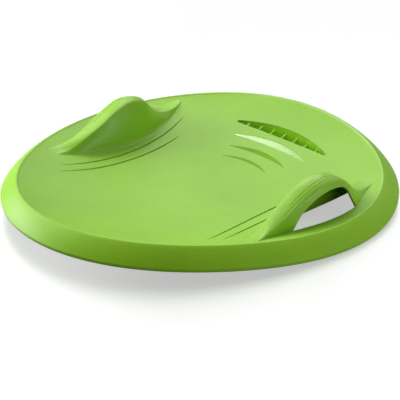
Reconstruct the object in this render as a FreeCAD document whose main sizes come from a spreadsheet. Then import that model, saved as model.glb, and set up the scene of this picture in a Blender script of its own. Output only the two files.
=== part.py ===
import FreeCAD, Part
import Sketcher
import math
import os

from FreeCAD import Vector

# Saucer sled: a shallow dished deck inside a rolled rim, two arched handles at the sides (+X and -X)
# and a ribbed crescent slot near the nose (+Y). The origin is on the floor, under the middle of the plan.

doc = FreeCAD.newDocument("saucer_sled")
sizes = doc.addObject("Spreadsheet::Sheet", "sizes")

# Driving dimensions in millimetres. Heights of the handles are above the floor, other places are from the
# pole of the dish, which is its lowest point.
driving = [
    ("edge_radius", 275, "mean radius of the deck edge in plan"),
    ("edge_oval", 3.7, "plan: longer than wide by this much each way"),
    ("edge_egg", 10.7, "plan: the rear is drawn out and the nose blunt by this much"),
    ("edge_rocker", 11.6, "the edge rises at nose and rear and falls at the sides"),
    ("edge_lift", 2.8, "the nose rises above the rear"),
    ("dish_depth", 40, "mean height of the edge over the pole"),
    ("deck_wall", 3.5, "thickness of the deck"),
    ("base_trim", 0.5, "depth that the flat under the pole is cut"),
    ("seam_gap", 0.2, "clearance between pieces that are bonded"),
    ("overrun", 12, "how far a cutting tool passes the face it cuts"),
    ("rim_reach", 24, "rim: how far it stands out from the deck edge"),
    ("rim_drop", 23.5, "rim: from the deck edge down to the widest line"),
    ("rim_height", 30, "rim: from the deck edge down to the lip"),
    ("rim_tuck", 4, "rim: how far the lip turns back in"),
    ("rim_bulge", 1.6, "rim: swell of its sloping face"),
    ("rim_wall", 3, "rim: thickness"),
    ("rim_ledge", 6, "rim: width of the ledge under the deck"),
    ("leaf_inset", 100, "handle: from the mean deck edge in to the foot of the inner face, at its middle"),
    ("leaf_radius", 350, "handle: plan radius of that foot"),
    ("leaf_middle", 25, "handle: how far its middle lies towards the nose"),
    ("leaf_lean", 16, "handle: how far the inner face leans out at its middle"),
    ("leaf_span", 155, "handle: from its middle to where the inner face would stand upright"),
    ("handle_rear", 105, "handle: from the pole back to the rear end"),
    ("handle_nose", 157, "handle: from the pole to the nose end"),
    ("handle_peak", 42, "handle: from the pole to the peak"),
    ("handle_tail_height", 29, "handle: crest at its tails"),
    ("handle_rise", 44, "handle: crest at the peak over the tails"),
    ("ramp_rear", 136, "handle: length of the long ramp"),
    ("ramp_nose", 92, "handle: length of the short ramp"),
    ("crease_reach", 47, "handle: outer edge of the band from the foot of the inner face, at its middle"),
    ("crease_reach_rear", 15, "handle: the same at the rear end"),
    ("crease_reach_nose", 18, "handle: the same at the nose end"),
    ("crease_peak", 50, "handle: from the pole to the peak of the band's outer edge"),
    ("crease_rise", 42, "handle: that edge at its peak over the tails"),
    ("crease_ramp_rear", 145, "handle: length of that edge's long ramp"),
    ("crease_ramp_nose", 95, "handle: length of that edge's short ramp"),
    ("crease_fade", 20, "handle: length over which the band sinks to the deck at its rear end"),
    ("band_crown", 4, "handle: swell of the band over the line between its edges, where it is roundest"),
    ("crown_middle", 50, "handle: from the pole to where the band is roundest"),
    ("crown_rear", 170, "handle: from there to where the swell ends at the rear"),
    ("crown_nose", 90, "handle: from there to where the swell ends at the nose"),
    ("handle_step", 1, "handle: least height of the band over the deck, at its tails"),
    ("handle_wall", 3, "handle: thickness"),
    ("handle_flange", 7, "handle: flange under the deck"),
    ("opening_rear", 29, "finger opening: rear corner behind the pole"),
    ("opening_nose", 100, "finger opening: nose corner"),
    ("opening_peak", 48, "finger opening: highest place"),
    ("opening_foot", 18, "finger opening: corners above the floor"),
    ("opening_height", 60, "finger opening: top above the floor"),
    ("opening_bulge", 12, "finger opening: how far its lower edge swells out over the deck"),
    ("strip_rear", 48, "grip strip: rear end behind the pole"),
    ("strip_nose", 76, "grip strip: nose end"),
    ("strip_inset", 6.6, "grip strip: in plan, from the outer edge of the band"),
    ("strip_width", 5.3, "grip strip: width in plan"),
    ("strip_depth", 1.8, "grip strip: depth, measured upright"),
    ("groove_width", 1.4, "grooves beside the handles: width"),
    ("recess_depth", 1.8, "grooves and crescents: depth in the deck"),
    ("near_groove_inset", 18, "groove beside the handle, from the foot of its inner face"),
    ("near_groove_radius", 500, "its plan radius"),
    ("near_groove_middle", 8, "its middle towards the nose"),
    ("near_groove_rear", 124, "its rear end behind the pole"),
    ("near_groove_nose", 146, "its nose end"),
    ("far_groove_inset", 38.5, "groove nearer the pole, from the same foot"),
    ("far_groove_radius", 575, "its plan radius"),
    ("far_groove_middle", 20, "its middle towards the nose"),
    ("far_groove_rear", 141, "its rear end behind the pole"),
    ("far_groove_nose", 106, "its nose end"),
    ("slot_half", 95, "slot: half its length"),
    ("slot_inset", 84, "slot: its tips from the mean deck edge"),
    ("slot_outer_sag", 21, "slot: nose edge beyond the tips"),
    ("slot_inner_sag", 4.5, "slot: rear edge beyond the tips"),
    ("crescent_1_half", 73, "first crescent: half its length"),
    ("crescent_1_inset", 112.5, "first crescent: its tips from the mean deck edge"),
    ("crescent_1_outer_sag", 17.5, "first crescent: nose edge beyond the tips"),
    ("crescent_1_inner_sag", 5.5, "first crescent: rear edge beyond the tips"),
    ("crescent_2_half", 59, "second crescent: half its length"),
    ("crescent_2_inset", 141.5, "second crescent: its tips from the mean deck edge"),
    ("crescent_2_outer_sag", 15.5, "second crescent: nose edge beyond the tips"),
    ("crescent_2_inner_sag", 7, "second crescent: rear edge beyond the tips"),
    ("crescent_3_half", 46.5, "third crescent: half its length"),
    ("crescent_3_inset", 170.5, "third crescent: its tips from the mean deck edge"),
    ("crescent_3_outer_sag", 13.5, "third crescent: nose edge beyond the tips"),
    ("crescent_3_inner_sag", 9, "third crescent: rear edge beyond the tips"),
    ("grille_wall", 1.6, "grille: thickness of its lining"),
    ("grille_depth", 18, "grille: depth below the deck face"),
    ("grille_flange", 4, "grille: flange under the deck"),
    ("grille_flange_thick", 2, "grille: thickness of that flange"),
    ("rib_thick", 1.8, "grille: thickness of a rib"),
    ("rib_reach", 11.5, "grille: how far a rib at the middle reaches across the slot"),
    ("rib_pitch", 24.5, "grille: from rib to rib"),
]
for row, (alias, value, meaning) in enumerate(driving, start=1):
    sizes.set(f"A{row}", meaning)
    sizes.set(f"B{row}", str(value))
    sizes.setAlias(f"B{row}", alias)
doc.recompute()


def size(alias):
    return float(sizes.get(alias))


dish_power = 3
face_lean_share = 0.33
leaf_bow_share = 0.36
rear_arc_shares = (0.45, 0.72)
nose_arc_shares = (0.34, 0.76)
crown_shares = (0.2, 0.4, 0.6, 0.8)
station_shares = [0, 0.04, 0.08, 0.16, 0.24, 0.32, 0.4, 0.48, 0.56, 0.64, 0.7, 0.76, 0.82, 0.88, 0.94, 1]
slope_shares = [0, 0.2, 0.4, 0.6, 0.8, 1]
roll_shares = [0.35, 0.7, 1]
grid_count = 29
around_count = 60
rib_count = 7

pole_y = size("edge_egg")
leaf_offset = size("edge_radius") - size("leaf_inset")
wall = size("deck_wall")
gap = size("seam_gap")
overrun = size("overrun")
reach = size("edge_radius") + size("edge_egg") + size("rim_reach")
roof = size("handle_tail_height") + size("handle_rise") + size("band_crown") + overrun


def place(x, y, z):
    return Vector(x, y + pole_y, z)


def edge_radius_at(angle):
    swell = size("edge_oval") * math.cos(2 * angle) - size("edge_egg") * math.cos(3 * angle)
    return size("edge_radius") + swell


def edge_rise_at(angle):
    swell = size("edge_rocker") * math.cos(2 * angle) + size("edge_lift") * math.cos(3 * angle)
    return size("dish_depth") + swell


def deck_height(x, y):
    # Upper face of the deck: a cubic dish whose edge follows the rocker.
    angle = math.atan2(x, y)
    share = math.hypot(x, y) / edge_radius_at(angle)
    return wall - size("base_trim") + edge_rise_at(angle) * share ** dish_power


def feature(name, shape):
    made = doc.addObject("Part::Feature", name)
    made.Shape = shape
    return made


def closed_curve(points):
    curve = Part.BSplineCurve()
    curve.interpolate(Points=points, PeriodicFlag=True)
    return Part.Wire(curve.toShape())


def open_curve(points):
    curve = Part.BSplineCurve()
    curve.interpolate(Points=points)
    return curve.toShape()


def upright(wire):
    # A wall-sided tool over a plan outline drawn at the floor, from below the floor to above the handles.
    face = Part.Face(wire)
    face.translate(Vector(0, 0, -overrun))
    return face.extrude(Vector(0, 0, roof + 2 * overrun))


def layer(low, high):
    # The space between two copies of the deck face, moved up or down by low and high.
    rows = []
    for across in range(grid_count):
        x = reach * (2 * across / (grid_count - 1) - 1)
        row = []
        for along in range(grid_count):
            y = reach * (2 * along / (grid_count - 1) - 1)
            row.append(place(x, y, deck_height(x, y) + high))
        rows.append(row)
    surface = Part.BSplineSurface()
    surface.interpolate(rows)
    return surface.toShape().extrude(Vector(0, 0, low - high))


def common(name, base, tool):
    made = doc.addObject("Part::Common", name)
    made.Base = base
    made.Tool = tool
    return made


def cut(name, base, tool):
    made = doc.addObject("Part::Cut", name)
    made.Base = base
    made.Tool = tool
    return made


def fuse(name, shapes):
    made = doc.addObject("Part::MultiFuse", name)
    made.Shapes = shapes
    return made


def mirrored(name, source):
    made = doc.addObject("Part::Mirroring", name)
    made.Source = source
    made.Normal = Vector(1, 0, 0)
    return made


# Handle: cross-sections from the rear end to the nose end.

def bell(y, middle, rear, nose):
    # 1 at the middle, falling to 0 at the named length to the rear and to the nose.
    away = y - size(middle)
    ramp = size(nose) if away > 0 else size(rear)
    return math.cos(math.pi / 2 * min(abs(away) / ramp, 1)) ** 2


def arc_offset(y, offset, radius, middle):
    return offset + radius - math.sqrt(radius ** 2 - (y - middle) ** 2)


def leaf_x(y):
    return arc_offset(y, leaf_offset, size("leaf_radius"), size("leaf_middle"))


def crest(y):
    lean = size("leaf_lean") * (1 - ((y - size("leaf_middle")) / size("leaf_span")) ** 2)
    x = leaf_x(y) + lean
    z = size("handle_tail_height") + size("handle_rise") * bell(y, "handle_peak", "ramp_rear", "ramp_nose")
    return x, max(z, deck_height(x, y) + size("handle_step"))


def smooth(share):
    # Rises from 0 to 1 with level ends.
    held = min(max(share, 0), 1)
    return held * held * (3 - 2 * held)


def crease_reach(y):
    # The band narrows from its middle towards both ends.
    away = y - size("leaf_middle")
    end_reach = size("crease_reach_nose")
    length = size("handle_nose") - size("leaf_middle")
    if away < 0:
        end_reach = size("crease_reach_rear")
        length = size("handle_rear") + size("leaf_middle")
    return size("crease_reach") - (size("crease_reach") - end_reach) * (away / length) ** 2


def crease(y):
    x = leaf_x(y) + crease_reach(y)
    rise = size("crease_rise") * bell(y, "crease_peak", "crease_ramp_rear", "crease_ramp_nose")
    fade = smooth((y + size("handle_rear")) / size("crease_fade"))
    z = size("handle_tail_height") + rise * fade
    return x, max(z, deck_height(x, y) + size("handle_step"))


def band(y, share):
    # A place on the rounded band, from its inner edge at 0 to its outer edge at 1.
    crest_x, crest_z = crest(y)
    crease_x, crease_z = crease(y)
    crown = size("band_crown") * bell(y, "crown_middle", "crown_rear", "crown_nose")
    swell = 4 * crown * share * (1 - share)
    return crest_x + share * (crease_x - crest_x), crest_z + share * (crease_z - crest_z) + swell


def face_x(y):
    # The outer face leans outwards from the crease down to the deck, and swells beside the finger opening.
    x, z = crease(y)
    foot = x
    for _ in range(4):
        foot = x + face_lean_share * max(z - deck_height(foot, y), 0)
    along = (y + size("opening_rear")) / (size("handle_nose") + size("opening_rear"))
    return foot + size("opening_bulge") * math.sin(math.pi * max(along, 0)) ** 2


handle_length = size("handle_nose") + size("handle_rear")
stations = [share * handle_length - size("handle_rear") for share in station_shares]


def under(x, y):
    return deck_height(x, y) - wall - gap


def handle_section(y):
    thick = size("handle_wall")
    leaf = leaf_x(y)
    tip = leaf - size("handle_flange")
    face = face_x(y) - gap
    crest_x, crest_z = crest(y)
    crease_x, crease_z = crease(y)
    leaf_z = deck_height(leaf, y)
    face_z = deck_height(face, y)
    crown = [band(y, share) for share in crown_shares]
    edge_share = thick / (crease_x - crest_x)
    hollow = [band(y, edge_share + share * (1 - 2 * edge_share)) for share in reversed(crown_shares)]
    points = [
        (leaf + gap, leaf_z),
        (leaf + gap + leaf_bow_share * (crest_x - leaf), (leaf_z + crest_z) / 2),
        (crest_x, crest_z),
        *crown,
        (crease_x, crease_z),
        (face, face_z),
        (face, face_z - wall),
        (face - thick, face_z - wall),
        (crease_x - thick, crease_z - thick),
        *[(x, z - thick * math.sqrt(2)) for x, z in hollow],
        (crest_x + thick, crest_z - thick),
        (leaf + gap + thick, under(leaf, y) - thick),
        (tip, under(tip, y) - thick),
        (tip, under(tip, y)),
        (leaf + gap, under(leaf, y)),
    ]
    corners = [place(x, y, z) for x, z in points]
    return Part.makePolygon(corners + corners[:1])


def finger_opening():
    # An arch seen from the side, cut through the outer face and the foot below it.
    foot = size("opening_foot")
    top = size("opening_height")
    start = -size("opening_rear")
    peak = size("opening_peak")
    end = size("opening_nose")
    inside = leaf_offset + size("crease_reach") - size("handle_wall")

    def corner(y, z):
        return place(inside, y, z)

    def between(y, shares):
        return corner(y + shares[0] * (peak - y), foot + shares[1] * (top - foot))

    rear_arc = Part.Arc(corner(start, foot), between(start, rear_arc_shares), corner(peak, top))
    nose_arc = Part.Arc(corner(peak, top), between(end, nose_arc_shares), corner(end, foot))
    floor_end = corner(end, -overrun)
    floor_start = corner(start, -overrun)
    edges = [
        rear_arc.toShape(),
        nose_arc.toShape(),
        Part.makeLine(corner(end, foot), floor_end),
        Part.makeLine(floor_end, floor_start),
        Part.makeLine(floor_start, corner(start, foot)),
    ]
    return Part.Face(Part.Wire(edges)).extrude(Vector(reach - inside, 0, 0))


def strip_loft(side, low, high):
    # A ribbon along the band between two lines that keep their distance from its outer edge.
    wires = []
    span = size("strip_nose") + size("strip_rear")
    for share in station_shares:
        y = share * (span + 2 * side) - size("strip_rear") - side
        length = crease(y)[0] - crest(y)[0]
        outer = length - size("strip_inset") + side
        inner = outer - size("strip_width") - 2 * side
        corners = []
        for away, lift in ((inner, low), (outer, low), (outer, high), (inner, high)):
            x, z = band(y, away / length)
            corners.append(place(x, y, z + lift))
        wires.append(Part.makePolygon(corners + corners[:1]))
    return Part.makeLoft(wires, True, False)


handle_shell = feature("handle_shell", Part.makeLoft([handle_section(y) for y in stations], True, False))
opening_tool = feature("opening_tool", finger_opening())
channel_tool = feature("channel_tool", strip_loft(gap, -size("strip_depth") - gap, overrun))
right_handle = cut("right_handle", handle_shell, fuse("handle_tools", [opening_tool, channel_tool]))
left_handle = mirrored("left_handle", right_handle)
right_grip_strip = feature("right_grip_strip", strip_loft(0, -size("strip_depth"), 0))
left_grip_strip = mirrored("left_grip_strip", right_grip_strip)


# Deck: the dish panel with its flat base, handle apertures, slot, crescents and grooves.

def plan_ring(inset):
    points = []
    for step in range(around_count):
        angle = 2 * math.pi * step / around_count
        r = edge_radius_at(angle) - inset
        points.append(place(r * math.sin(angle), r * math.cos(angle), 0))
    return closed_curve(points)


def aperture_outline():
    inner = [place(leaf_x(y), y, 0) for y in stations]
    outer = [place(face_x(y), y, 0) for y in stations]
    rear_end = Part.makeLine(outer[0], inner[0])
    nose_end = Part.makeLine(inner[-1], outer[-1])
    return Part.Wire([open_curve(inner), nose_end, open_curve(outer), rear_end])


def groove_outline(name):
    offset = leaf_offset - size(name + "_inset")
    radius = size(name + "_radius")
    middle = size(name + "_middle")
    rear = -size(name + "_rear")
    nose = size(name + "_nose")
    lines = []
    for side in (-1, 1):
        shift = offset + side * size("groove_width") / 2
        line = [(arc_offset(y, shift, radius, middle), y) for y in (rear, (rear + nose) / 2, nose)]
        lines.append([place(x, y, 0) for x, y in line])
    near, far = lines
    edges = [
        Part.Arc(*near).toShape(),
        Part.makeLine(near[-1], far[-1]),
        Part.Arc(*far).toShape(),
        Part.makeLine(far[0], near[0]),
    ]
    return Part.Wire(Part.__sortEdges__(edges))


def crescent_sketch(name):
    # Two arcs that meet at the tips, both bound to the sheet.
    half = size(name + "_half")
    end = size("edge_radius") - size(name + "_inset") + pole_y
    sketch = doc.addObject("Sketcher::SketchObject", name + "_outline")
    for line in ("outer", "inner"):
        top = end + size(f"{name}_{line}_sag")
        arc = Part.Arc(Vector(half, end, 0), Vector(0, top, 0), Vector(-half, end, 0))
        sketch.addGeometry(arc)
    bind = []
    sketch.addConstraint(Sketcher.Constraint("Coincident", 0, 1, 1, 1))
    sketch.addConstraint(Sketcher.Constraint("Coincident", 0, 2, 1, 2))
    bind.append((Sketcher.Constraint("DistanceX", -1, 1, 0, 1, half), f"sizes.{name}_half"))
    bind.append((Sketcher.Constraint("DistanceX", 0, 2, -1, 1, half), f"sizes.{name}_half"))
    for corner in (1, 2):
        height = Sketcher.Constraint("DistanceY", -1, 1, 0, corner, end)
        bind.append((height, f"sizes.edge_radius - sizes.{name}_inset + sizes.edge_egg"))
    for arc, line in enumerate(("outer", "inner")):
        sag = f"sizes.{name}_{line}_sag"
        radius = Sketcher.Constraint("Radius", arc, sketch.Geometry[arc].Radius)
        bind.append((radius, f"(sizes.{name}_half ^ 2 + {sag} ^ 2) / (2 * {sag})"))
    for constraint, expression in bind:
        index = sketch.addConstraint(constraint)
        sketch.setExpression(f"Constraints[{index}]", expression)
    return sketch


def crescent_tool(name):
    made = doc.addObject("Part::Extrusion", name + "_tool")
    made.Base = crescent_sketch(name)
    made.DirMode = "Custom"
    made.Dir = Vector(0, 0, 1)
    made.Solid = True
    made.setExpression("LengthFwd", "sizes.handle_tail_height + sizes.handle_rise + sizes.overrun")
    made.setExpression("LengthRev", "sizes.overrun")
    return made


deck_blank = feature("deck_blank", upright(plan_ring(gap)).common(layer(-wall, 0)))
above_floor = doc.addObject("Part::Box", "above_floor")
above_floor.setExpression("Height", "sizes.handle_tail_height + sizes.handle_rise")
half_plan = "(sizes.edge_radius + sizes.edge_egg + sizes.rim_reach)"
for side, axis in (("Length", "x"), ("Width", "y")):
    above_floor.setExpression(side, f"2 * {half_plan}")
    above_floor.setExpression(f"Placement.Base.{axis}", f"-{half_plan}")
recess_layer = feature("recess_layer", layer(-size("recess_depth"), overrun))
crescents = fuse("crescents", [crescent_tool(f"crescent_{number}") for number in (1, 2, 3)])
groove_tools = [upright(groove_outline(name)) for name in ("near_groove", "far_groove")]
grooves = feature("grooves", Part.makeCompound(groove_tools))
marks = fuse("marks", [crescents, grooves, mirrored("left_grooves", grooves)])
recesses = common("recesses", marks, recess_layer)
aperture = feature("aperture", upright(aperture_outline()))
slot_tool = crescent_tool("slot")
deck_tools = fuse("deck_tools", [aperture, mirrored("left_aperture", aperture), slot_tool, recesses])
deck = cut("deck", common("deck_panel", deck_blank, above_floor), deck_tools)


# Rim: a rolled section carried round the deck edge, with a ledge that the deck edge is bonded to.

def rim_section():
    # Steps out and down from the deck edge, in order round the section.
    out = size("rim_reach")
    drop = size("rim_drop")
    tuck = size("rim_tuck")
    lip = size("rim_height") - drop
    points = []
    for share in slope_shares:
        swell = size("rim_bulge") * 4 * share * (1 - share) / math.sqrt(2)
        points.append((out * share + swell, swell - drop * share))
    for share in roll_shares:
        turn = math.pi / 2 * share
        points.append((out - tuck * (1 - math.cos(turn)), -drop - lip * math.sin(turn)))
    thick = size("rim_wall")
    points.append((out - tuck - thick, -size("rim_height")))
    points.append((out - tuck - thick, -drop))
    points.append((gap, -wall - 2 * gap - thick * math.sqrt(2)))
    return points


def rim_lines():
    ledge = size("rim_ledge")
    lines = [[] for _ in range(len(rim_section()) + 3)]
    for step in range(around_count):
        angle = 2 * math.pi * step / around_count
        r = edge_radius_at(angle)
        across = math.sin(angle)
        along = math.cos(angle)
        edge = deck_height(r * across, r * along)
        inner = r - ledge
        seat = under(inner * across, inner * along)
        steps = [(r + out, edge + up) for out, up in rim_section()]
        steps += [(inner, seat - size("rim_wall")), (inner, seat), (r, edge - wall - gap)]
        for line, (radius, height) in zip(lines, steps):
            line.append(place(radius * across, radius * along, height))
    return [closed_curve(line) for line in lines]


rim_shell = Part.makeLoft(rim_lines(), False, True, True)
rim = feature("rim", Part.Solid(Part.Shell(rim_shell.Faces)))


# Grille: a lining pushed up into the slot from below, with a flange and short ribs from its rear wall.

slot_end = size("edge_radius") - size("slot_inset")


def crescent_wire(inset):
    # The slot's outline moved in by inset: its tips slide along the line between its two arcs.
    outer = size("slot_outer_sag")
    inner = size("slot_inner_sag")
    slide = inset / (outer - inner)
    half = size("slot_half") * (1 - slide)
    end = slot_end + (outer + inner) * slide
    edges = []
    for top in (slot_end + outer - inset, slot_end + inner + inset):
        edges.append(Part.Arc(place(half, end, 0), place(0, top, 0), place(-half, end, 0)).toShape())
    return Part.Wire(edges)


def rib_blocks():
    blocks = []
    for number in range(rib_count):
        middle = (number - (rib_count - 1) / 2) * size("rib_pitch")
        start = place(middle - size("rib_thick") / 2, slot_end - overrun, 0)
        opened = 1 - (middle / size("slot_half")) ** 2
        length = overrun + (size("slot_inner_sag") + size("rib_reach")) * opened
        blocks.append(Part.makeBox(size("rib_thick"), length, roof, start))
    return Part.makeCompound(blocks)


plug = upright(crescent_wire(gap))
hollow = upright(crescent_wire(gap + size("grille_wall")))
lining = plug.cut(hollow)
ribs = plug.common(rib_blocks())
flange = upright(crescent_wire(-size("grille_flange"))).cut(hollow)
inside_slot = layer(-size("grille_depth"), 0)
under_deck = layer(-wall - gap - size("grille_flange_thick"), -wall - gap)
grille_solid = lining.fuse(ribs).common(inside_slot).fuse(flange.common(under_deck))
vent_grille = feature("vent_grille", grille_solid.removeSplitter())

doc.recompute()

nodes = [deck, rim, right_handle, left_handle, right_grip_strip, left_grip_strip, vent_grille]
for made in doc.Objects:
    if "Invalid" in made.State or "Error" in made.State:
        raise RuntimeError(f"{made.Name} failed to build: {made.State}")
for node in nodes:
    if node.Shape.isNull() or not node.Shape.isValid():
        raise RuntimeError(f"{node.Name} has no valid shape")
    bounds = node.Shape.BoundBox
    print(node.Label, len(node.Shape.Solids), round(node.Shape.Volume), bounds)

os.makedirs("parts", exist_ok=True)
for node in nodes:
    node.Shape.exportStep(f"parts/{node.Label}.step")
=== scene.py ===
import math

import bmesh
import bpy
from mathutils import Euler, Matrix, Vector


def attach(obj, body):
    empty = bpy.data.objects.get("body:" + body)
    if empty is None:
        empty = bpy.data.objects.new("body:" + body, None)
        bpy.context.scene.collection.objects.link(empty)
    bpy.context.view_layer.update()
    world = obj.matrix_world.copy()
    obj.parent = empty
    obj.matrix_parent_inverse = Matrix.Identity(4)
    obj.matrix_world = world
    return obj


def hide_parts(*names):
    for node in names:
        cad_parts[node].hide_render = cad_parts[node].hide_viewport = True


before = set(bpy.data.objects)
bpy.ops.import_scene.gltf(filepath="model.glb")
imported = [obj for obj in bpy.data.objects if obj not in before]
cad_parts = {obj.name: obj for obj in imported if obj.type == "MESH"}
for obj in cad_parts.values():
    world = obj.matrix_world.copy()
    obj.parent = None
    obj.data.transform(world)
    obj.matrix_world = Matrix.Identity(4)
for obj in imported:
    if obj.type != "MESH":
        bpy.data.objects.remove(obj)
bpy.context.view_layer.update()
print("frame:", len(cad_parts), "nodes")

# Lengths are millimetres from the pole of the dish until finishPiece turns them into metres.
# +Y is the nose, +X the right handle, and heights start at the floor.
toMetres = 0.001
mergeGap = 0.0001       # points nearer than this are one

dish = {
    "edgeRadius": 275, "oval": 3.7, "egg": 10.7,    # plan of the deck edge
    "depth": 40, "rocker": 11.6, "lift": 2.8,       # height of the edge over the pole
    "power": 3, "wall": 3.5, "baseTrim": 0.5,
    "rings": 56, "spokes": 288, "sharpAngle": 25,
    "edgeInset": 2,                                 # the panel stops inside the rim's lip
}


def edgeRadius(angle):
    return dish["edgeRadius"] + dish["oval"] * math.cos(2 * angle) - dish["egg"] * math.cos(3 * angle)


def edgeRise(angle):
    return dish["depth"] + dish["rocker"] * math.cos(2 * angle) + dish["lift"] * math.cos(3 * angle)


def deckZ(x, y):
    angle = math.atan2(x, y)
    share = math.hypot(x, y) / edgeRadius(angle)
    return dish["wall"] - dish["baseTrim"] + edgeRise(angle) * share ** dish["power"]


def curveThrough(knots):
    # a smooth height or offset along y through a few places
    ys = [knot[0] for knot in knots]
    values = [knot[1] for knot in knots]
    slopes = []
    for i in range(len(knots)):
        a, b = max(i - 1, 0), min(i + 1, len(knots) - 1)
        slopes.append((values[b] - values[a]) / (ys[b] - ys[a]))

    def at(y):
        y = min(max(y, ys[0]), ys[-1])
        i = max(k for k in range(len(ys) - 1) if ys[k] <= y)
        span = ys[i + 1] - ys[i]
        t = (y - ys[i]) / span
        rise = values[i + 1] - values[i]
        s0, s1 = slopes[i] * span, slopes[i + 1] * span
        return values[i] + t * (s0 + t * (3 * rise - 2 * s0 - s1 + t * (s0 + s1 - 2 * rise)))
    return at


def smooth(share):
    t = min(max(share, 0), 1)
    return t * t * (3 - 2 * t)


def bend(start, corner, end, shares):
    # a rounded turn from start to end that leans towards the corner
    points = []
    for t in shares:
        points.append(start * (1 - t) ** 2 + corner * (2 * t * (1 - t)) + end * t * t)
    return points


def evenShares(count):
    return [i / (count - 1) for i in range(count)]


def gridSheet(columns, stations, sectionAt):
    # a sheet of cross-sections: sectionAt(station share) gives the points of one section
    bm = bmesh.new()
    bmesh.ops.create_grid(bm, x_segments=columns - 1, y_segments=stations - 1, size=0.5)
    sections = [sectionAt(j / (stations - 1)) for j in range(stations)]
    for vert in bm.verts:
        i = round((vert.co.x + 0.5) * (columns - 1))
        j = round((vert.co.y + 0.5) * (stations - 1))
        vert.co = sections[j][i]
    return faceUp(bm)


def faceUp(bm):
    bmesh.ops.recalc_face_normals(bm, faces=bm.faces)
    if sum(face.normal.z * face.calc_area() for face in bm.faces) < 0:
        bmesh.ops.reverse_faces(bm, faces=bm.faces)
    return bm


def blockAlong(cuts, place):
    # a long block: place(share along, far side, top) gives each corner
    bm = bmesh.new()
    bmesh.ops.create_cube(bm, size=1)
    lengthwise = [e for e in bm.edges if abs(e.verts[0].co.x - e.verts[1].co.x) > 0.5]
    bmesh.ops.subdivide_edges(bm, edges=lengthwise, cuts=cuts)
    for vert in bm.verts:
        vert.co = place(vert.co.x + 0.5, vert.co.y > 0, vert.co.z > 0)
    bm.normal_update()
    bmesh.ops.recalc_face_normals(bm, faces=bm.faces)
    return bm


def joinBlocks(blocks):
    joined = bmesh.new()
    for block in blocks:
        mesh = bpy.data.meshes.new("block")
        block.to_mesh(mesh)
        block.free()
        joined.from_mesh(mesh)
        bpy.data.meshes.remove(mesh)
    return joined


def meshObject(name, bm):
    mesh = bpy.data.meshes.new(name)
    bm.to_mesh(mesh)
    bm.free()
    piece = bpy.data.objects.new(name, mesh)
    bpy.context.scene.collection.objects.link(piece)
    return piece


def bakeModifiers(piece):
    mesh = bpy.data.meshes.new_from_object(piece.evaluated_get(bpy.context.evaluated_depsgraph_get()))
    piece.modifiers.clear()
    piece.data = mesh


def thicken(piece, wall):
    # the sheet is the outer face and the wall goes inward from it
    skin = piece.modifiers.new("wall", "SOLIDIFY")
    skin.thickness = wall
    skin.offset = -1
    bakeModifiers(piece)


def mirrorX(bm):
    bmesh.ops.scale(bm, verts=bm.verts, vec=(-1, 1, 1))
    bmesh.ops.reverse_faces(bm, faces=bm.faces)


sledPieces = []


def finishPiece(piece, node, material, sharpAngle=32):
    # metres, shading, material and its place in the frame
    bm = bmesh.new()
    bm.from_mesh(piece.data)
    bmesh.ops.translate(bm, verts=bm.verts, vec=(0, dish["egg"], 0))
    bmesh.ops.scale(bm, verts=bm.verts, vec=(toMetres, toMetres, toMetres))
    for face in bm.faces:
        face.smooth = True
    for edge in bm.edges:
        edge.smooth = edge.calc_face_angle(0) < math.radians(sharpAngle)
    bm.to_mesh(piece.data)
    triangles = sum(len(face.verts) - 2 for face in bm.faces)
    bm.free()
    if material:
        piece.data.materials.append(material)
    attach(piece, "root")
    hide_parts(node)
    sledPieces.append(piece)
    print("piece:", piece.name, triangles, "triangles")


plastic = {
    "deck": {"colour": (0.255, 0.515, 0.035), "roughness": 0.42, "grain": 0.55, "shine": 0.33},
    "polish": {"colour": (0.26, 0.52, 0.04), "roughness": 0.2, "grain": 0.05, "shine": 1},
    # a darker green than the deck with a duller finish: painted shade for the crescent and groove recesses
    "painted_shade_recess": {"colour": (0.17, 0.4, 0.012), "roughness": 0.5, "grain": 0.2, "shine": 0.1},
    # the rim, handle and grip greens are a more saturated copy of the deck green, matched to how their faces
    # look in shade: a painted shade tint
    "rim": {"colour": (0.244, 0.515, 0.014), "roughness": 0.42, "grain": 0.12, "shine": 0.24},
    "lip": {"colour": (0.26, 0.52, 0.03), "roughness": 0.33, "grain": 0.08, "shine": 0.55},
    "handle": {"colour": (0.244, 0.515, 0.016), "roughness": 0.37, "grain": 0.14, "shine": 0.5},
    "grip": {"colour": (0.244, 0.515, 0.016), "roughness": 0.38, "grain": 0.12, "shine": 0.4},
    "grille": {"colour": (0.27, 0.6, 0.015), "roughness": 0.45, "grain": 0.2, "shine": 0.15},
}
moulding = {
    # moulded grain, about half a millimetre
    "grainScale": 1700, "grainDetail": 3, "grainHeight": 0.0002, "glossSpread": 0.05,
    # slow drift and fine mottle of the pigment
    "cloudScale": 9, "cloudDetail": 4, "cloudSpan": (0.3, 0.7), "cloudTint": (0.95, 1.05),
    "speckScale": 420, "speckDetail": 2, "mottle": (0.84, 1.16),
}


def noiseNode(nodes, links, kind):
    noise = nodes.new("ShaderNodeTexNoise")
    noise.inputs["Scale"].default_value = moulding[kind + "Scale"]
    noise.inputs["Detail"].default_value = moulding[kind + "Detail"]
    links.new(nodes.new("ShaderNodeTexCoord").outputs["Object"], noise.inputs["Vector"])
    return noise.outputs["Fac"]


def rampNode(nodes, links, source, limits, values, easing="SMOOTHSTEP"):
    ramp = nodes.new("ShaderNodeMapRange")
    ramp.interpolation_type = easing
    ramp.inputs["From Min"].default_value, ramp.inputs["From Max"].default_value = limits
    ramp.inputs["To Min"].default_value, ramp.inputs["To Max"].default_value = values
    links.new(source, ramp.inputs["Value"])
    return ramp.outputs["Result"]


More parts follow.
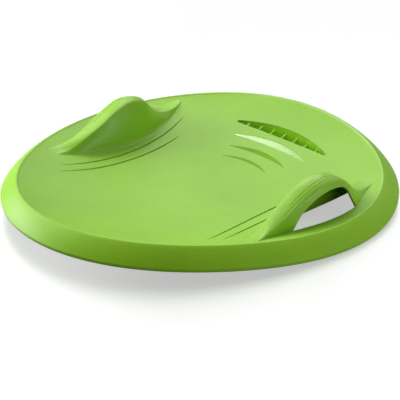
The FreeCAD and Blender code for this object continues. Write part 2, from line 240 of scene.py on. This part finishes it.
def limePlastic(name):
    look = plastic[name]
    material = bpy.data.materials.new("lime_" + name)
    material.use_nodes = True
    nodes = material.node_tree.nodes
    links = material.node_tree.links
    shader = nodes["Principled BSDF"]
    shader.inputs["Specular IOR Level"].default_value = look["shine"]

    tint = nodes.new("ShaderNodeValToRGB")
    for stop, place, level in zip(tint.color_ramp.elements, moulding["cloudSpan"], moulding["cloudTint"]):
        stop.position = place
        stop.color = (*[c * level for c in look["colour"]], 1)
    links.new(noiseNode(nodes, links, "cloud"), tint.inputs["Fac"])
    mottle = rampNode(nodes, links, noiseNode(nodes, links, "speck"), (0, 1), moulding["mottle"], "LINEAR")
    pigment = nodes.new("ShaderNodeVectorMath")
    pigment.operation = "SCALE"
    links.new(tint.outputs["Color"], pigment.inputs["Vector"])
    links.new(mottle, pigment.inputs["Scale"])
    links.new(pigment.outputs["Vector"], shader.inputs["Base Color"])

    grain = noiseNode(nodes, links, "grain")
    spread = moulding["glossSpread"]
    gloss = (look["roughness"] - spread, look["roughness"] + spread)
    links.new(rampNode(nodes, links, grain, (0, 1), gloss, "LINEAR"), shader.inputs["Roughness"])
    bump = nodes.new("ShaderNodeBump")
    bump.inputs["Strength"].default_value = look["grain"]
    bump.inputs["Distance"].default_value = moulding["grainHeight"]
    links.new(grain, bump.inputs["Height"])
    links.new(bump.outputs["Normal"], shader.inputs["Normal"])
    return material


materials = {name: limePlastic(name) for name in plastic}
print("materials:", len(materials))


# Handles: a hood and its skirt are sheets of cross-sections with a wall, and the left handle is mirrored.
handle = {
    "rear": -119, "nose": 172, "stations": 190, "wall": 3,
    "leafOffset": 175, "leafRadius": 350, "leafMiddle": 25,         # foot of the inner face
    "leafBow": 2.2, "bowHeight": 40, "sink": 0.25, "pull": 0.3,
    "footRound": 4.5, "footRise": 30, "footLeast": 1, "footShare": 0.45, "footThinnest": 0.2, "footSink": 1,
    "crestRound": 1.4, "crestShare": 0.4, "crestThinnest": 0.1,
    "creaseRound": (1.2, 4.5), "creaseSoftens": (-50, 30), "creaseShare": 0.3,
    "footSteps": 8, "leafSteps": 10, "turnSteps": 6, "bandSteps": 9, "edgeSteps": 4, "faceSteps": 10,
}
crestX = curveThrough([
    (-121, 207), (-108, 203), (-90, 199.5), (-70, 197), (-56, 195), (-20, 190.5), (35, 190.5),
    (65, 192), (95, 194.5), (115, 195.5), (135, 197.5), (155, 202), (175, 209)])
crestRise = curveThrough([
    (-121, -1), (-108, 0), (-85, 5.5), (-70, 12), (-45, 26.5), (-20, 40.5), (5, 53.5), (30, 60.5),
    (42, 61), (55, 58.5), (75, 49), (90, 32), (105, 19), (125, 10.5), (150, 4), (175, -0.5)])
creaseX = curveThrough([
    (-121, 227), (-95, 221.5), (-70, 218), (-45, 218.5), (5, 222), (30, 223.5), (55, 222.5),
    (75, 220), (105, 222.5), (125, 222), (150, 219), (175, 214)])
creaseRise = curveThrough([
    (-121, -1), (-108, -0.5), (-95, 1.5), (-70, 9), (-45, 20), (-20, 33.5), (5, 44.5), (30, 52.5),
    (42, 53.5), (55, 52.5), (75, 47.5), (90, 36.5), (98, 27), (105, 18.5), (115, 11), (125, 6),
    (140, 2), (150, 0.5), (175, -0.5)])
# how far the crowned band swells over its inner and its outer edge
innerSwell = curveThrough([
    (-121, 0), (-95, 0.5), (-70, 3), (-20, 2.5), (30, 4.5), (55, 8), (75, 6.5), (90, 2.5), (105, 2),
    (140, 0)])
outerSwell = curveThrough([
    (-121, 0), (-95, 0.5), (-70, 3), (-20, 2.5), (5, 4), (55, 2.5), (90, 1.5), (105, 2), (140, 0)])
footX = curveThrough([
    (-121, 228), (-95, 222.5), (-75, 219.5), (-56, 219), (-40, 220.5), (-16, 227), (-5, 229.5),
    (20, 236.5), (50, 241.5), (70, 242.5), (88, 241), (105, 236), (125, 228), (145, 221), (175, 214.5)])

opening = {"rear": -29, "nose": 89, "lipLeast": 0.1}
lipZ = curveThrough([
    (-29, 20.5), (-20, 32.5), (-8, 43), (8, 52), (24, 58), (44, 60.5), (60, 59), (72, 56),
    (80, 52), (84, 47), (86, 38), (89, 23)])
skirt = {
    "rear": -38, "nose": 129, "stations": 68, "columns": 5,
    "top": (4, 12), "topShare": 0.5, "topLeast": 0.5, "low": -3.7,
    "reach": [(-38, 1), (43, 1.7), (86, 3.3), (129, 4)],
}

grip = {
    "upper": {"share": 0.634, "rear": -29, "nose": 62},         # two fine lines along the band
    "lower": {"share": 0.791, "rear": -46, "nose": 78},
    "fade": 10, "lineWidth": 0.9, "lineDepth": 0.8,
    "ribPitch": 2.2, "ribHeight": 0.3, "ribSteps": 4, "proud": 0.05, "columns": 5,
}


def leafX(y):
    reach = math.sqrt(handle["leafRadius"] ** 2 - (y - handle["leafMiddle"]) ** 2)
    return handle["leafOffset"] + handle["leafRadius"] - reach


def gripFade(y, line):
    return smooth((y - line["rear"]) / grip["fade"]) * smooth((line["nose"] - y) / grip["fade"])


def bandCorners(y):
    # inner edge, two pulls and outer edge of the rounded band in the plane of one section
    crest = Vector((crestX(y), deckZ(crestX(y), y) + crestRise(y)))
    crease = Vector((creaseX(y), deckZ(creaseX(y), y) + creaseRise(y)))
    pull = handle["pull"] * (crease.x - crest.x)
    return crest, crest + Vector((pull, innerSwell(y))), crease + Vector((-pull, outerSwell(y))), crease


def bandSlope(y, t):
    a, b, c, d = bandCorners(y)
    return (b - a) * (3 * (1 - t) ** 2) + (c - b) * (6 * t * (1 - t)) + (d - c) * (3 * t * t)


def bandPoint(y, t, sink=0):
    # a point on the band, from its inner edge at 0 to its outer edge at 1, sunk below its face
    a, b, c, d = bandCorners(y)
    point = a * (1 - t) ** 3 + b * (3 * t * (1 - t) ** 2) + c * (3 * t * t * (1 - t)) + d * t ** 3
    slope = bandSlope(y, t).normalized()
    return point + Vector((slope.y, -slope.x)) * sink


def bandRun(y, first, last, shares, sink=0):
    return [bandPoint(y, first + (last - first) * s, sink) for s in shares]


def lineShare(y, share):
    # half the width of a grip line as a share of the band
    return grip["lineWidth"] / 2 / bandSlope(y, share).length


def handleSection(y):
    crest, _, _, crease = bandCorners(y)
    leaf = leafX(y)
    foot = Vector((leaf, deckZ(leaf, y)))
    height = crest.y - foot.y
    footMost = max(handle["footShare"] * height, handle["footThinnest"])
    footTurn = handle["footRound"] * smooth(crestRise(y) / handle["footRise"]) + handle["footLeast"]
    footTurn = min(footTurn, footMost)
    start = Vector((leaf - footTurn, deckZ(leaf - footTurn, y) - handle["sink"]))
    up = (crest - foot).normalized()
    leafLow = foot + up * footTurn
    leafLength = max((crest - leafLow).length, handle["crestThinnest"])
    crestTurn = min(handle["crestRound"], handle["crestShare"] * leafLength)
    leafHigh = crest - up * crestTurn
    turnShare = crestTurn / bandSlope(y, 0).length
    swell = 2 * handle["leafBow"] * smooth(height / handle["bowHeight"])
    bow = (leafLow + leafHigh) / 2 + Vector((-up.y, up.x)) * swell

    points = bend(start, foot, leafLow, evenShares(handle["footSteps"]))
    points += bend(leafLow, bow, leafHigh, evenShares(handle["leafSteps"])[1:])
    turnShares = evenShares(handle["turnSteps"])
    points += bend(leafHigh, crest, bandPoint(y, turnShare), turnShares[1:])

    # the band, with the two fine lines of the grip
    last = turnShare
    for line in (grip["upper"], grip["lower"]):
        share = line["share"]
        half = lineShare(y, share)
        deep = grip["lineDepth"] * gripFade(y, line)
        points += bandRun(y, last, share - half, evenShares(handle["bandSteps"])[1:])
        points += [bandPoint(y, share, deep), bandPoint(y, share + half)]
        last = share + half

    # the outer face, down to the deck or to the lip of the opening
    base = Vector((footX(y), deckZ(footX(y), y) - handle["footSink"]))
    down = (base - crease).normalized()
    tight, soft = handle["creaseRound"]
    softFrom, softTo = handle["creaseSoftens"]
    turn = tight + (soft - tight) * smooth((y - softFrom) / (softTo - softFrom))
    turn = min(turn, handle["creaseShare"] * (base - crease).length)
    endShare = 1 - turn / bandSlope(y, 1).length
    faceStart = crease + down * turn
    points += bandRun(y, last, endShare, evenShares(handle["edgeSteps"])[1:-1])
    points += bend(bandPoint(y, endShare), crease, faceStart, turnShares)
    bottom = base
    if opening["rear"] < y < opening["nose"]:
        share = (crease.y - lipZ(y)) / (crease.y - base.y)
        bottom = crease + (base - crease) * min(max(share, opening["lipLeast"]), 1)
    points += [faceStart + (bottom - faceStart) * s for s in evenShares(handle["faceSteps"])[1:]]
    return [Vector((p.x, y, p.y)) for p in points]


def handleBmesh():
    def section(share):
        return handleSection(handle["rear"] + share * (handle["nose"] - handle["rear"]))

    return gridSheet(len(section(0)), handle["stations"], section)


def skirtBmesh():
    # the inner face of the hood carried down through the deck
    reachAt = curveThrough(skirt["reach"])
    out, most = skirt["top"]

    def section(share):
        y = skirt["rear"] + share * (skirt["nose"] - skirt["rear"])
        leaf = leafX(y)
        low = leaf + reachAt(y)
        rise = min(most, skirt["topShare"] * max(crestRise(y), skirt["topLeast"]))
        top = Vector((leaf + out * rise / most, y, deckZ(leaf, y) + rise))
        bottom = Vector((low, y, deckZ(low, y) + skirt["low"]))
        return [top + (bottom - top) * s for s in evenShares(skirt["columns"])]

    return gridSheet(skirt["columns"], skirt["stations"], section)


def hoodBmesh():
    return joinBlocks([handleBmesh(), skirtBmesh()])


def gripBmesh():
    upper, lower = grip["upper"], grip["lower"]
    rear, nose = upper["rear"] + grip["fade"] / 2, upper["nose"] - grip["fade"] / 2
    ribs = round((nose - rear) / grip["ribPitch"])
    across = evenShares(grip["columns"])

    def section(share):
        y = rear + share * (nose - rear)
        wave = 0.5 - 0.5 * math.cos(2 * math.pi * share * ribs)
        sink = grip["ribHeight"] * wave * gripFade(y, upper) - grip["proud"]
        first = upper["share"] + lineShare(y, upper["share"])
        last = lower["share"] - lineShare(y, lower["share"])
        return [Vector((p.x, y, p.y)) for p in bandRun(y, first, last, across, sink)]

    return gridSheet(grip["columns"], grip["ribSteps"] * ribs + 1, section)


for side in ("right", "left"):
    for name, build, wall, slotName, finish in (
            ("handle", hoodBmesh, handle["wall"], "body", "handle"),
            ("grip_strip", gripBmesh, grip["lineDepth"], "grip", "grip")):
        bm = build()
        if side == "left":
            mirrorX(bm)
        piece = meshObject(f"{side}_{name}_shell", bm)
        thicken(piece, wall)
        finishPiece(piece, f"{side}_{name}", materials[finish])
print("handles done")


# Recesses in the deck. A lens lies across the sled between two arcs and has a depth at each of them,
# the near one first. A groove runs beside each handle. The two inner crescents and the grooves take a
# darker green, painted shade in place of the shade of a deeper recess.
slot = {"half": 94.5, "end": 191, "near": 3.7, "far": 21, "tip": 4.4, "depths": (12, 12)}
deckFinishes = ("deck", "polish", "painted_shade_recess")
crescents = [
    {"half": 73, "end": 162.5, "near": 5.5, "far": 17.5, "tip": 1.6,
     "depths": (0.05, 0.4), "finish": "polish"},
    # the two inner crescents take the darker recess green, painted shade
    {"half": 59, "end": 133.5, "near": 7, "far": 15.5, "tip": 1.6,
     "depths": (3, 0.05), "finish": "painted_shade_recess"},
    {"half": 46.5, "end": 104.5, "near": 9, "far": 13.5, "tip": 1.4,
     "depths": (2.6, 0.05), "finish": "painted_shade_recess"},
]
grooves = [
    {"offset": 157, "radius": 500, "middle": 8, "rear": -124, "nose": 146},
    {"offset": 136.5, "radius": 575, "middle": 20, "rear": -141, "nose": 106},
]
cutting = {
    "above": 3, "cuts": 60, "lensThinnest": 0.04,
    "grooveHalf": 1.5, "grooveDepth": 2.4, "grooveFloor": 0.12, "grooveEnds": 4, "grooveThinnest": 0.01,
}
aperture = {"rear": -38, "nose": 130, "innerGap": 2.2, "below": 9, "cuts": 48}


def lensBow(lens, x):
    return 1 - (x / lens["half"]) ** 2


def lensY(lens, x, far):
    bow = lensBow(lens, x)
    tip = lens["tip"] / 2
    return lens["end"] + (lens["far"] * bow + tip if far else lens["near"] * bow - tip)


def lensBlock(lens, taper=True):
    # a tapered lens keeps the tilt of its floor out to the tips
    def place(share, far, top):
        x = lens["half"] * (2 * share - 1)
        y = lensY(lens, x, far)
        drop = lens["depths"][far]
        if taper:
            drop = max(drop * lensBow(lens, x), cutting["lensThinnest"])
        return Vector((x, y, deckZ(x, y) + (cutting["above"] if top else -drop)))
    return blockAlong(cutting["cuts"], place)


def grooveBlock(groove, side):
    def place(share, far, top):
        y = groove["rear"] + share * (groove["nose"] - groove["rear"])
        reach = math.sqrt(groove["radius"] ** 2 - (y - groove["middle"]) ** 2)
        middle = groove["offset"] + groove["radius"] - reach
        taper = math.sqrt(max(1 - (2 * share - 1) ** cutting["grooveEnds"], cutting["grooveThinnest"]))
        half = cutting["grooveHalf"] * taper * (1 + cutting["above"] / cutting["grooveDepth"])
        x = middle + (1 if far else -1) * (half if top else cutting["grooveFloor"])
        z = deckZ(middle, y) + (cutting["above"] if top else -cutting["grooveDepth"] * taper)
        return Vector((side * x, y, z))
    return blockAlong(cutting["cuts"], place)


def apertureBlock(side):
    def place(share, far, top):
        if far:
            y = opening["rear"] + share * (opening["nose"] - opening["rear"])
            x = footX(y)
        else:
            y = aperture["rear"] + share * (aperture["nose"] - aperture["rear"])
            x = leafX(y) + aperture["innerGap"]
        z = deckZ(x, y) + (cutting["above"] if top else -aperture["below"])
        return Vector((side * x, y, z))
    return blockAlong(aperture["cuts"], place)


def deckBmesh():
    bm = bmesh.new()
    last = None
    for i in range(dish["rings"] + 1):
        vert = bm.verts.new((i / dish["rings"], 0, 0))
        if last:
            bm.edges.new((last, vert))
        last = vert
    bmesh.ops.spin(bm, geom=bm.verts[:] + bm.edges[:], axis=(0, 0, 1), cent=(0, 0, 0), angle=2 * math.pi,
                   steps=dish["spokes"], use_merge=True)
    bmesh.ops.remove_doubles(bm, verts=bm.verts, dist=mergeGap)
    for vert in bm.verts:
        angle = math.atan2(vert.co.x, vert.co.y)
        r = vert.co.xy.length * (edgeRadius(angle) - dish["edgeInset"])
        x, y = r * math.sin(angle), r * math.cos(angle)
        vert.co = (x, y, deckZ(x, y))
    under = bmesh.ops.extrude_face_region(bm, geom=bm.faces[:])["geom"]
    for item in under:
        if isinstance(item, bmesh.types.BMVert):
            item.co.z = max(item.co.z - dish["wall"], 0)
    bmesh.ops.recalc_face_normals(bm, faces=bm.faces)
    return bm


def painted(block, finish):
    for face in block.faces:
        face.material_index = deckFinishes.index(finish)
    return block


blocks = [lensBlock(slot, taper=False)]
blocks += [painted(lensBlock(lens), lens["finish"]) for lens in crescents]
for side in (1, -1):
    # the grooves take the darker recess green, painted shade
    blocks += [painted(grooveBlock(groove, side), "painted_shade_recess") for groove in grooves]
    blocks.append(apertureBlock(side))
cutter = meshObject("recess_cutter", joinBlocks(blocks))
deck = meshObject("deck_panel", deckBmesh())
for mesh in (cutter.data, deck.data):
    for finish in deckFinishes:
        mesh.materials.append(materials[finish])
trim = deck.modifiers.new("recesses", "BOOLEAN")
trim.operation = "DIFFERENCE"
trim.solver = "EXACT"
trim.object = cutter
bakeModifiers(deck)
bpy.data.objects.remove(cutter)
finishPiece(deck, "deck", None, dish["sharpAngle"])
print("deck done")


# Rim: places out and up from the deck edge. Where out is negative, up is counted from the deck face.
rim = {
    "reach": 24, "drop": 23.5, "height": 30, "tuck": 4, "bulge": 1.6, "wall": 3,
    "ledge": 7, "ledgeDip": 0.3, "corner": 1,
    "spokes": 288, "slopeSteps": 9, "rollSteps": 6,
    "lip": [(-4.4, -0.1), (-3.6, 0.45), (-2.7, 0.8), (-1.8, 0.8), (-1, 0.5), (-0.4, 0.1), (0, -0.25),
            (0.5, -0.56), (1.1, -0.9)],
    "polishInside": -4.5, "polishAbove": 0.15,      # where the lip's smoother finish starts
}


def rimSection():
    places = [(-rim["ledge"], -rim["ledgeDip"])] + rim["lip"]
    for i in range(1, rim["slopeSteps"] + 1):
        share = i / rim["slopeSteps"]
        swell = rim["bulge"] * 4 * share * (1 - share) / math.sqrt(2)
        places.append((rim["reach"] * share + swell, swell - rim["drop"] * share))
    for i in range(1, rim["rollSteps"] + 1):
        turn = math.pi / 2 * i / rim["rollSteps"]
        out = rim["reach"] - rim["tuck"] * (1 - math.cos(turn))
        places.append((out, -rim["drop"] - (rim["height"] - rim["drop"]) * math.sin(turn)))
    inner = rim["reach"] - rim["tuck"] - rim["wall"]
    corner = rim["corner"]
    places += [(inner + corner, -rim["height"]), (inner, corner - rim["height"]), (inner, -rim["drop"])]
    under = dish["wall"] + rim["wall"]
    places += [(corner, -under - corner), (-rim["ledge"], -under)]
    return places


def rimBmesh():
    bm = bmesh.new()
    verts = [bm.verts.new((dish["edgeRadius"] + out, 0, up)) for out, up in rimSection()]
    for a, b in zip(verts, verts[1:] + verts[:1]):
        bm.edges.new((a, b))
    bmesh.ops.spin(bm, geom=bm.verts[:] + bm.edges[:], axis=(0, 0, 1), cent=(0, 0, 0), angle=2 * math.pi,
                   steps=rim["spokes"], use_merge=True)
    for face in bm.faces:
        middle = face.calc_center_median()
        out = middle.xy.length - dish["edgeRadius"]
        face.material_index = int(middle.z > rim["polishAbove"] and out > rim["polishInside"])
    for vert in bm.verts:
        angle = math.atan2(vert.co.x, vert.co.y)
        out = vert.co.xy.length - dish["edgeRadius"]
        r = edgeRadius(angle) + out
        seat = edgeRadius(angle) + min(out, 0)
        z = deckZ(seat * math.sin(angle), seat * math.cos(angle)) + vert.co.z
        vert.co = (r * math.sin(angle), r * math.cos(angle), z)
    bmesh.ops.remove_doubles(bm, verts=bm.verts, dist=mergeGap)
    bmesh.ops.recalc_face_normals(bm, faces=bm.faces)
    return bm


bumper = meshObject("rim_bumper", rimBmesh())
bumper.data.materials.append(materials["rim"])
bumper.data.materials.append(materials["lip"])
finishPiece(bumper, "rim", None)
print("rim done")


# Grille: a lining that hangs below the slot, with short ribs from its rear wall.
grille = {
    "wall": 1.6, "depth": 21, "gap": 0.05, "seat": 0.4, "cuts": 60,
    "ribs": 7, "ribPitch": 24.4, "ribThick": 2.2, "ribReach": 0.55, "ribDrop": 0.15,
    "ribSink": 1, "ribCuts": 4,
}


def liningBmesh():
    def ringAt(grow, level):
        points = []
        for far in (False, True):
            for i in range(grille["cuts"] + 1):
                share = i / grille["cuts"]
                x = slot["half"] * (2 * share - 1) * (-1 if far else 1)
                y = lensY(slot, x, far)
                points.append(Vector((x, y + (grow if far else -grow), deckZ(x, y) + level)))
        return points

    bm = bmesh.new()
    loops = []
    top, low = grille["seat"] - dish["wall"], -grille["depth"]
    inner, outer = grille["gap"], grille["wall"]
    for grow, level in ((inner, top), (inner, low), (outer, low), (outer, top)):
        verts = [bm.verts.new(point) for point in ringAt(grow, level)]
        loops.append([bm.edges.new((a, b)) for a, b in zip(verts, verts[1:] + verts[:1])])
    for a, b in zip(loops, loops[1:] + loops[:1]):
        bmesh.ops.bridge_loops(bm, edges=a + b)
    bmesh.ops.remove_doubles(bm, verts=bm.verts, dist=mergeGap)
    bmesh.ops.recalc_face_normals(bm, faces=bm.faces)
    return bm


def ribBlock(x):
    def place(share, far, top):
        near = lensY(slot, x, False)
        reach = grille["ribReach"] * (lensY(slot, x, True) - near)
        y = near - grille["ribSink"] + share * (reach + grille["ribSink"])
        z = deckZ(x, y) - grille["ribDrop"] if top else deckZ(x, near) - grille["depth"] + grille["ribSink"]
        return Vector((x + (0.5 if far else -0.5) * grille["ribThick"], y, z))
    return blockAlong(grille["ribCuts"], place)


ribPlaces = [(i - (grille["ribs"] - 1) / 2) * grille["ribPitch"] for i in range(grille["ribs"])]
lining = joinBlocks([liningBmesh()] + [ribBlock(x) for x in ribPlaces])
finishPiece(meshObject("vent_lining", lining), "vent_grille", materials["grille"])
print("grille done")


# Studio: pale floor, sky, soft lamps and the camera.
studio = {
    "floorSize": 8, "floorColour": (0.7, 0.1),      # to bounced light, to the camera
    "floorGloss": 0.56, "floorRoughness": 0.37,
    # the floor's glow to the camera grows from the middle to the left: painted light lifting the sled's
    # shadow and reflection on that side
    "floorGlow": (0.5, 0.67), "glowSpan": (0, 0.25), "paintedLiftSide": (-1, -1, 0),     # middle to left, in metres
    "bright": (-0.68, 0.68, 0.27), "sides": (-0.5, 0.85), "sky": (0.05, 0.95), "haze": (0, 0.32),
}
lamps = [
    {"name": "left_softbox", "from": (-0.83, -0.5, 0.25), "distance": 1.8, "size": (1.4, 0.6), "watts": 25.5},
    {"name": "top_softbox", "from": (-0.72, -0.28, 0.63), "distance": 2, "size": (1.5, 1.5), "watts": 22.5},
    {"name": "right_softbox", "from": (0.97, 0.12, 0.14), "distance": 1.8, "size": (1.6, 1), "watts": 12.5},
    {"name": "back_softbox", "from": (-0.35, 0.62, 0.7), "distance": 2.2, "size": (0.5, 0.5), "watts": 5},
    {"name": "back_spot", "from": (-0.575, 0.4, 0.715), "distance": 2.2, "size": (0.3, 0.3), "watts": 4.4},
]
view = {
    "place": (1.4085, -1.3951, 0.981), "azimuth": 44.907, "elevation": 26.702,
    "lens": 130.02, "sensor": 36,
}


def makeFloor():
    # white where open to the sky, and it keeps the sled's shadow and a soft reflection; its glow rises
    # towards the left, painted light that lifts that shadow on the left side
    bm = bmesh.new()
    bmesh.ops.create_grid(bm, x_segments=1, y_segments=1, size=studio["floorSize"] / 2)
    floor = meshObject("studio_floor", bm)
    material = bpy.data.materials.new("studio_floor")
    material.use_nodes = True
    nodes = material.node_tree.nodes
    links = material.node_tree.links
    nodes.remove(nodes["Principled BSDF"])
    seen = nodes.new("ShaderNodeLightPath").outputs["Is Camera Ray"]
    matt = nodes.new("ShaderNodeBsdfDiffuse")
    links.new(rampNode(nodes, links, seen, (0, 1), studio["floorColour"]), matt.inputs["Color"])
    gloss = nodes.new("ShaderNodeBsdfGlossy")
    gloss.inputs["Color"].default_value = (1, 1, 1, 1)
    gloss.inputs["Roughness"].default_value = studio["floorRoughness"]
    mix = nodes.new("ShaderNodeMixShader")
    mix.inputs["Fac"].default_value = studio["floorGloss"]
    links.new(matt.outputs["BSDF"], mix.inputs[1])
    links.new(gloss.outputs["BSDF"], mix.inputs[2])
    # painted light: the glow rises across the floor towards the left
    across = nodes.new("ShaderNodeVectorMath")
    across.operation = "DOT_PRODUCT"
    across.inputs[1].default_value = Vector(studio["paintedLiftSide"]).normalized()
    links.new(nodes.new("ShaderNodeTexCoord").outputs["Object"], across.inputs[0])
    level = nodes.new("ShaderNodeMath")
    level.operation = "MULTIPLY"
    links.new(seen, level.inputs[0])
    fade = rampNode(nodes, links, across.outputs["Value"], studio["glowSpan"], studio["floorGlow"])
    links.new(fade, level.inputs[1])
    glow = nodes.new("ShaderNodeEmission")
    links.new(level.outputs["Value"], glow.inputs["Strength"])
    both = nodes.new("ShaderNodeAddShader")
    links.new(mix.outputs["Shader"], both.inputs[0])
    links.new(glow.outputs["Emission"], both.inputs[1])
    links.new(both.outputs["Shader"], nodes["Material Output"].inputs["Surface"])
    floor.data.materials.append(material)


def makeWorld():
    # a sky that is white behind the sled, fainter above it, dim in front of it and dark at the horizon
    world = bpy.data.worlds.new("studio")
    world.use_nodes = True
    nodes = world.node_tree.nodes
    links = world.node_tree.links
    sky = nodes["Background"]
    sky.inputs["Color"].default_value = (1, 1, 1, 1)
    way = nodes.new("ShaderNodeTexCoord").outputs["Generated"]
    facing = nodes.new("ShaderNodeVectorMath")
    facing.operation = "DOT_PRODUCT"
    facing.inputs[1].default_value = Vector(studio["bright"]).normalized()
    links.new(way, facing.inputs[0])
    height = nodes.new("ShaderNodeSeparateXYZ")
    links.new(way, height.inputs[0])
    strength = nodes.new("ShaderNodeMath")
    strength.operation = "MULTIPLY"
    side = rampNode(nodes, links, facing.outputs["Value"], studio["sides"], studio["sky"])
    links.new(side, strength.inputs[0])
    links.new(rampNode(nodes, links, height.outputs["Z"], studio["haze"], (0, 1)), strength.inputs[1])
    links.new(strength.outputs["Value"], sky.inputs["Strength"])
    bpy.context.scene.world = world


def makeLamps():
    sled = bpy.data.collections.new("sled")
    for piece in sledPieces:
        sled.objects.link(piece)
    for lamp in lamps:
        light = bpy.data.lights.new(lamp["name"], "AREA")
        light.shape = "RECTANGLE"
        light.size, light.size_y = lamp["size"]
        light.energy = lamp["watts"]
        holder = bpy.data.objects.new(lamp["name"], light)
        away = Vector(lamp["from"]).normalized()
        holder.location = away * lamp["distance"]
        holder.rotation_euler = away.to_track_quat("Z", "Y").to_euler()
        bpy.context.scene.collection.objects.link(holder)
        holder.light_linking.receiver_collection = sled     # kept off the floor, which would mirror them


def makeCamera():
    lens = bpy.data.cameras.new("photo_view")
    lens.sensor_width = view["sensor"]
    lens.lens = view["lens"]
    camera = bpy.data.objects.new("photo_view", lens)
    camera.location = view["place"]
    camera.rotation_euler = Euler((math.radians(90 - view["elevation"]), 0, math.radians(view["azimuth"])))
    bpy.context.scene.collection.objects.link(camera)
    bpy.context.scene.camera = camera


makeFloor()
makeWorld()
makeLamps()
makeCamera()
bpy.context.scene.view_settings.view_transform = "Standard"
print("studio done")
